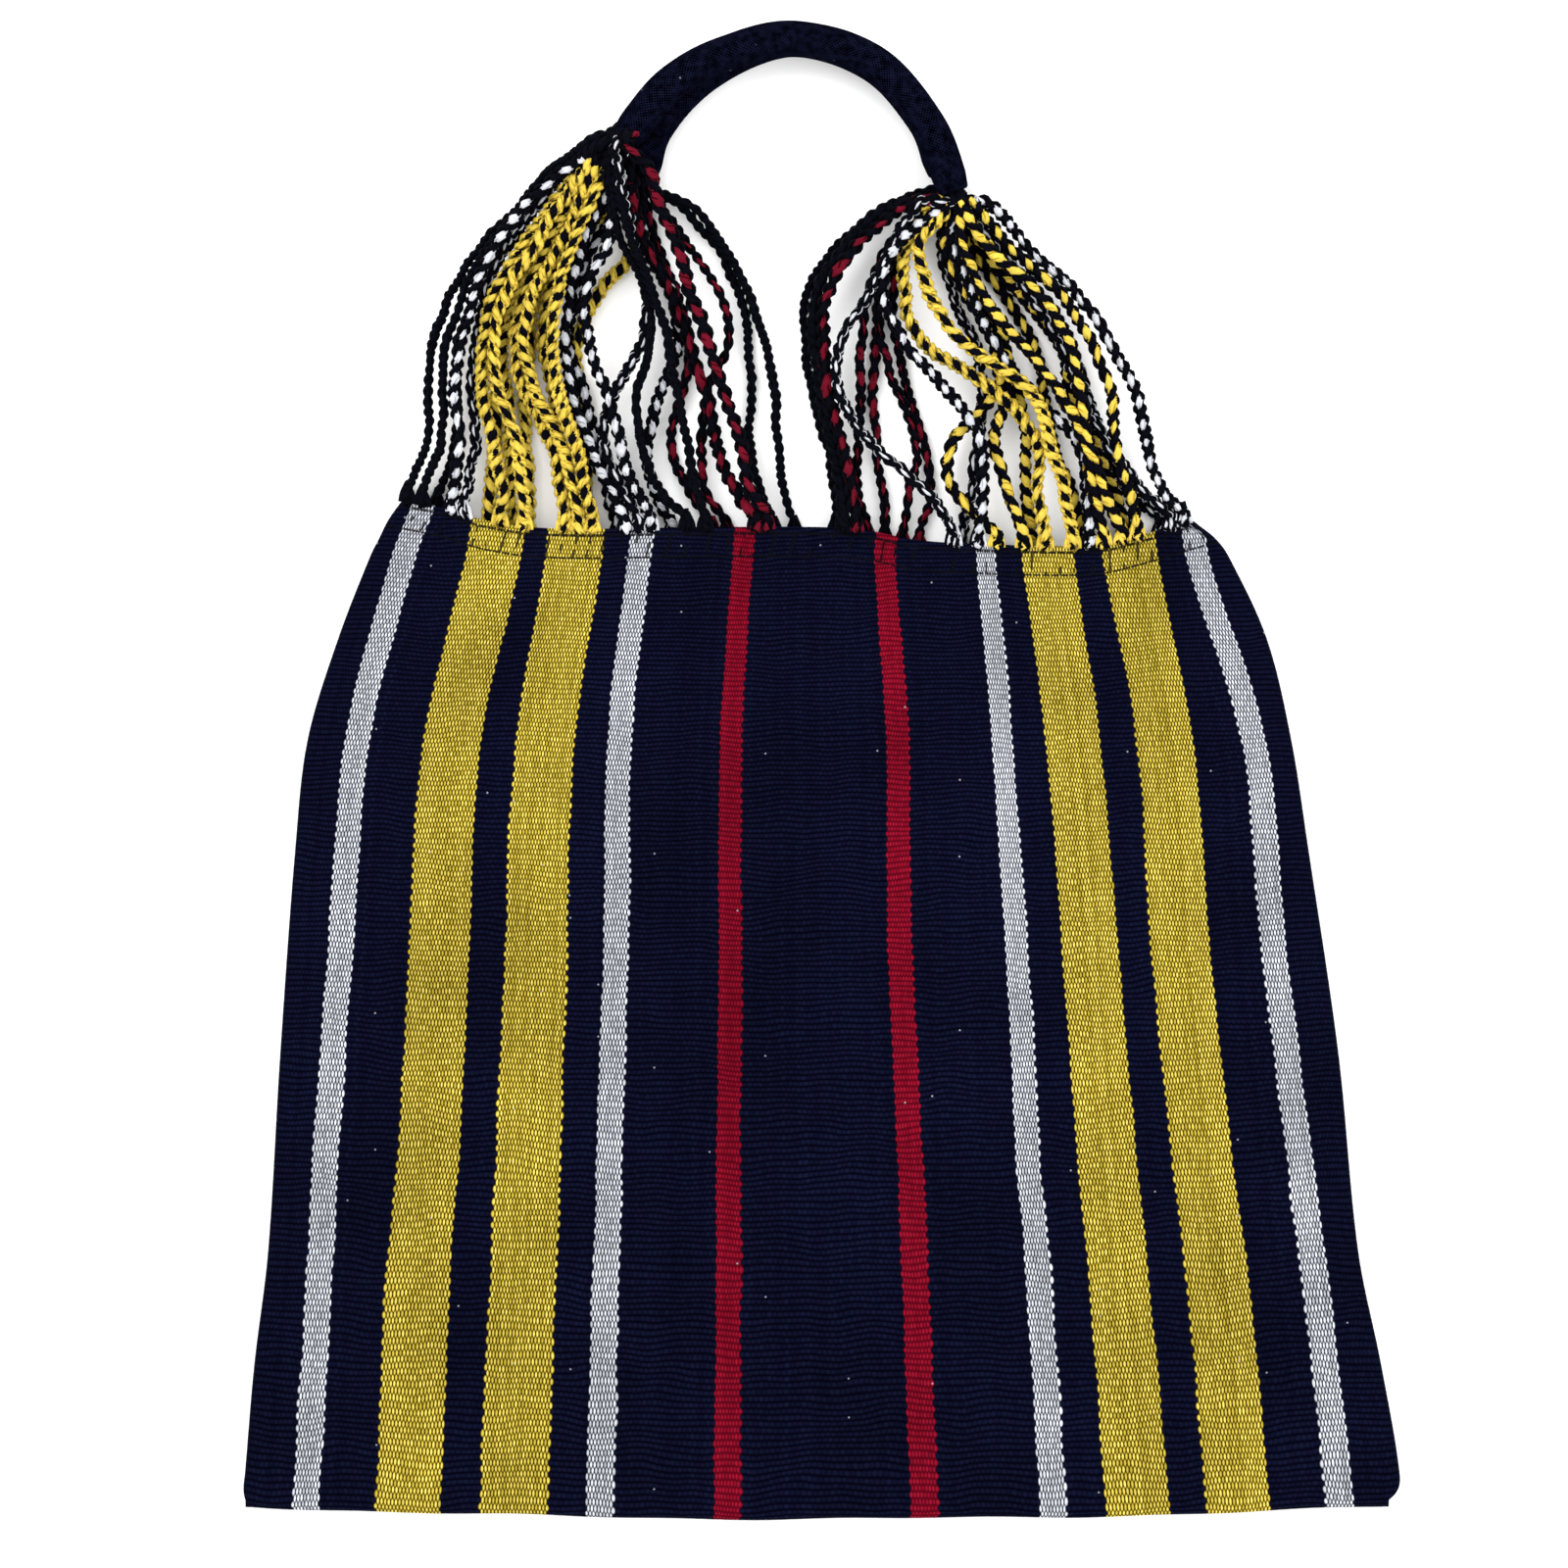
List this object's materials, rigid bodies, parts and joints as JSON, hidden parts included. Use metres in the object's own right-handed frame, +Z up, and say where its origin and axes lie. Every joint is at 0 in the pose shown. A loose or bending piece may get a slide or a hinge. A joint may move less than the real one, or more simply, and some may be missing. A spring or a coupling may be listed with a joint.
{
  "type": "hammock bag",
  "caption": "Flat woven cloth tote whose striped warp ends are twisted into cords that gather at two round, cloth-covered handles.",
  "frame": {"origin": "centre of the whole bag's outline, on the surface that its back panel lies on", "axes": "+Z up out of the front panel, +Y from the folded bottom edge towards the mouth and the handles, +X to the right of someone who faces the front panel"},
  "size_m": [0.3789, 0.4899, 0.0233],
  "materials": {
    "woven_cloth": "warp-faced ribbed cotton, navy with white, yellow and red stripes, slight satin sheen",
    "twisted_cord": "matte two-ply twisted cotton yarn in navy, white, red and yellow",
    "handle_cover": "matte navy cotton sewn tight over a padded core"
  },
  "bodies": {
    "root": {"bag_cloth": "woven_cloth", "cords_front_left": "twisted_cord", "cords_back_left": "twisted_cord", "cords_front_right": "twisted_cord", "cords_back_right": "twisted_cord", "handle_front": "handle_cover", "handle_back": "handle_cover"}
  },
  "joints": []
}
